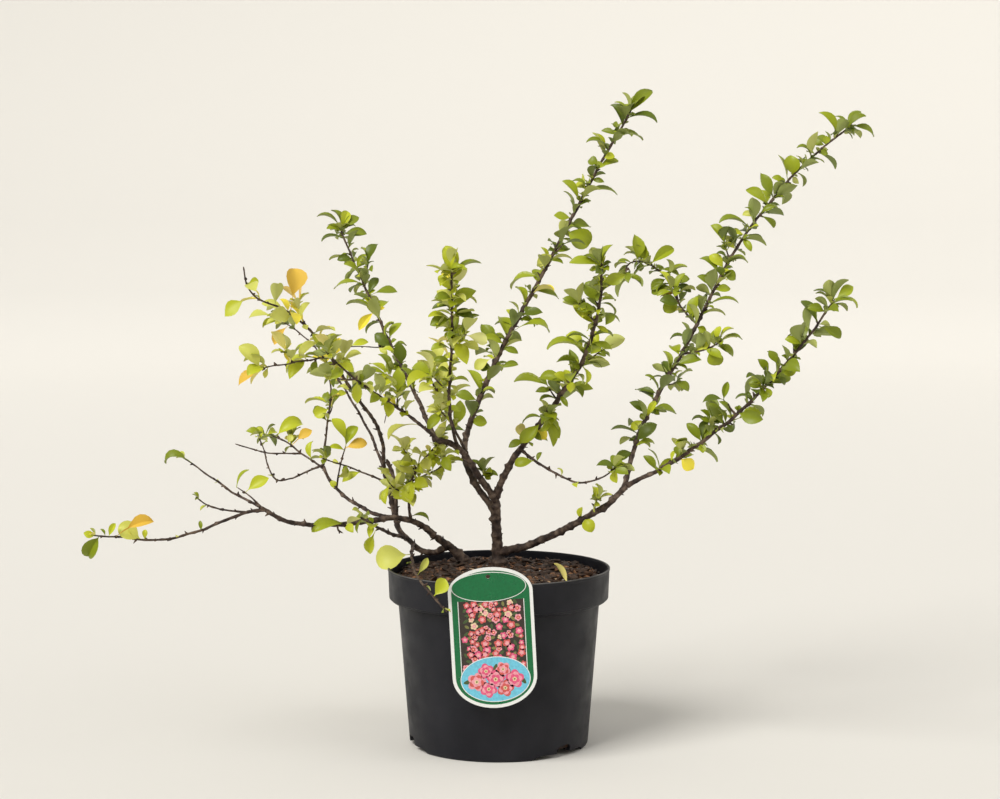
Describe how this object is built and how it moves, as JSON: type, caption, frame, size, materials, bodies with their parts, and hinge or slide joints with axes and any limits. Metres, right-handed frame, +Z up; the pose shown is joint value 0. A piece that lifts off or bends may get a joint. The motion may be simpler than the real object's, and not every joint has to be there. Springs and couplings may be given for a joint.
{
  "type": "potted flowering quince",
  "caption": "Young flowering quince shrub with arching stems and turning leaves, in a round black nursery pot with a hanging plant label.",
  "frame": {"origin": "centre of the pot's flat underside, where it stands", "axes": "+Z up, +X to the right of the front view along the shrub's longest reach, -Y towards the viewer, the side that the label hangs on"},
  "size_m": [0.6888, 0.3938, 0.5609],
  "materials": {
    "pot": "matt black blow-moulded plastic",
    "compost": "loose dark bark compost",
    "label": "white printed plastic, smooth",
    "bark": "dark brown bark, rough",
    "leaves": "green leaves, slightly glossy",
    "autumn_leaves": "yellowing leaves, matt"
  },
  "bodies": {
    "root": {"centre_bough": "bark", "centre_foliage": "leaves", "centre_right_bough": "bark", "centre_right_foliage": "leaves", "drooping_bough": "bark", "drooping_foliage": "leaves", "fork_spur_bough": "bark", "fork_spur_foliage": "leaves", "heart_bough": "bark", "heart_foliage": "leaves", "high_left_bough": "bark", "high_left_foliage": "leaves", "inner_left_bough": "bark", "inner_left_foliage": "leaves", "knobbly_bough": "bark", "knobbly_foliage": "leaves", "label": "label", "left": "bark", "left_back_bough": "bark", "left_back_foliage": "leaves", "left_curl_bough": "bark", "left_curl_foliage": "leaves", "left_fan_bough": "bark", "left_fan_foliage": "leaves", "left_fork": "bark", "left_high_bough": "bark", "left_high_foliage": "autumn_leaves", "left_low_bough": "bark", "left_low_foliage": "autumn_leaves", "left_mid": "bark", "left_middle_bough": "bark", "left_middle_foliage": "leaves", "left_rising": "bark", "left_thin_bough": "bark", "left_thin_foliage": "leaves", "left_upper_bough": "bark", "left_upper_foliage": "leaves", "left_upright_bough": "bark", "left_upright_foliage": "leaves", "low_centre_bough": "bark", "low_centre_foliage": "leaves", "low_right_bough": "bark", "low_right_foliage": "leaves", "pot": "pot", "pruned_stub": "bark", "right": "bark", "right_high_bough": "bark", "right_high_foliage": "leaves", "right_low_bough": "bark", "right_low_foliage": "leaves", "right_spur_bough": "bark", "right_spur_foliage": "leaves", "second_stem": "bark", "soil": "compost", "tall_bough": "bark", "tall_foliage": "leaves", "trunk": "bark"}
  },
  "joints": []
}
